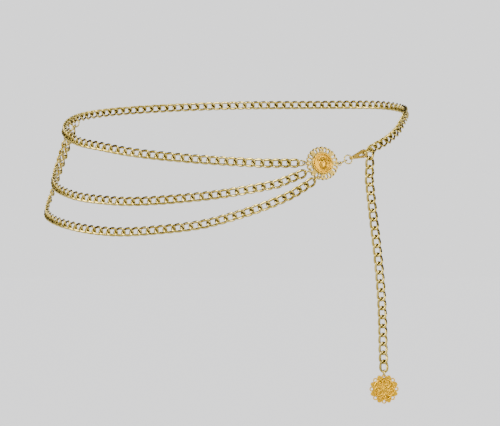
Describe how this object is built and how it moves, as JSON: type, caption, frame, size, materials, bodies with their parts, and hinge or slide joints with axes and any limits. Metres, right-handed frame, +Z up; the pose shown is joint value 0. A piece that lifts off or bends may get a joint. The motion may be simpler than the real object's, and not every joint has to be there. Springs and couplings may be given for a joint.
{
  "type": "waist chain",
  "caption": "Gold-plated curb waist chain with two draped swags, a pierced round medallion, a lobster clasp and a chain tail that ends in a lobed pendant.",
  "frame": {"origin": "middle of the waist loop, where the body goes through", "axes": "+Z up, +X the wearer's left (a viewer's right), the front faces -Y"},
  "size_m": [0.2983, 0.2115, 0.2443],
  "materials": {
    "pale_gold": "polished pale gold plating",
    "rose_gold": "satin warm gold plating"
  },
  "bodies": {
    "chain": {"waist_chain_front": "pale_gold", "waist_chain_back": "pale_gold", "middle_strand": "pale_gold", "lower_strand": "pale_gold", "tail_chain": "pale_gold", "medallion": "pale_gold", "waist_strand_ring": "pale_gold", "middle_strand_ring": "pale_gold", "lower_strand_ring": "pale_gold", "middle_side_ring": "pale_gold", "lower_side_ring": "pale_gold", "medallion_ring": "pale_gold", "clasp_ring": "pale_gold", "pendant_ring": "pale_gold", "clasp_body": "rose_gold", "clasp_rivet": "rose_gold"},
    "lever": {"clasp_lever": "rose_gold"},
    "pendant": {"pendant": "rose_gold"}
  },
  "joints": [
    {"name": "clasp_lever_hinge", "type": "hinge", "parent": "chain", "child": "lever", "pos_m": [0.09311, -0.07956, 0.00029], "axis": [0.5213, -0.8352, 0.1752], "range_deg": [0, 12], "stiffness_Nm_per_rad": 0.002, "springref_deg": -5.73},
    {"name": "pendant_swing", "type": "hinge", "parent": "chain", "child": "pendant", "pos_m": [0.11349, -0.08857, -0.1696], "axis": [0.1045, -0.9945, 0], "range_deg": [-35, 35]}
  ]
}
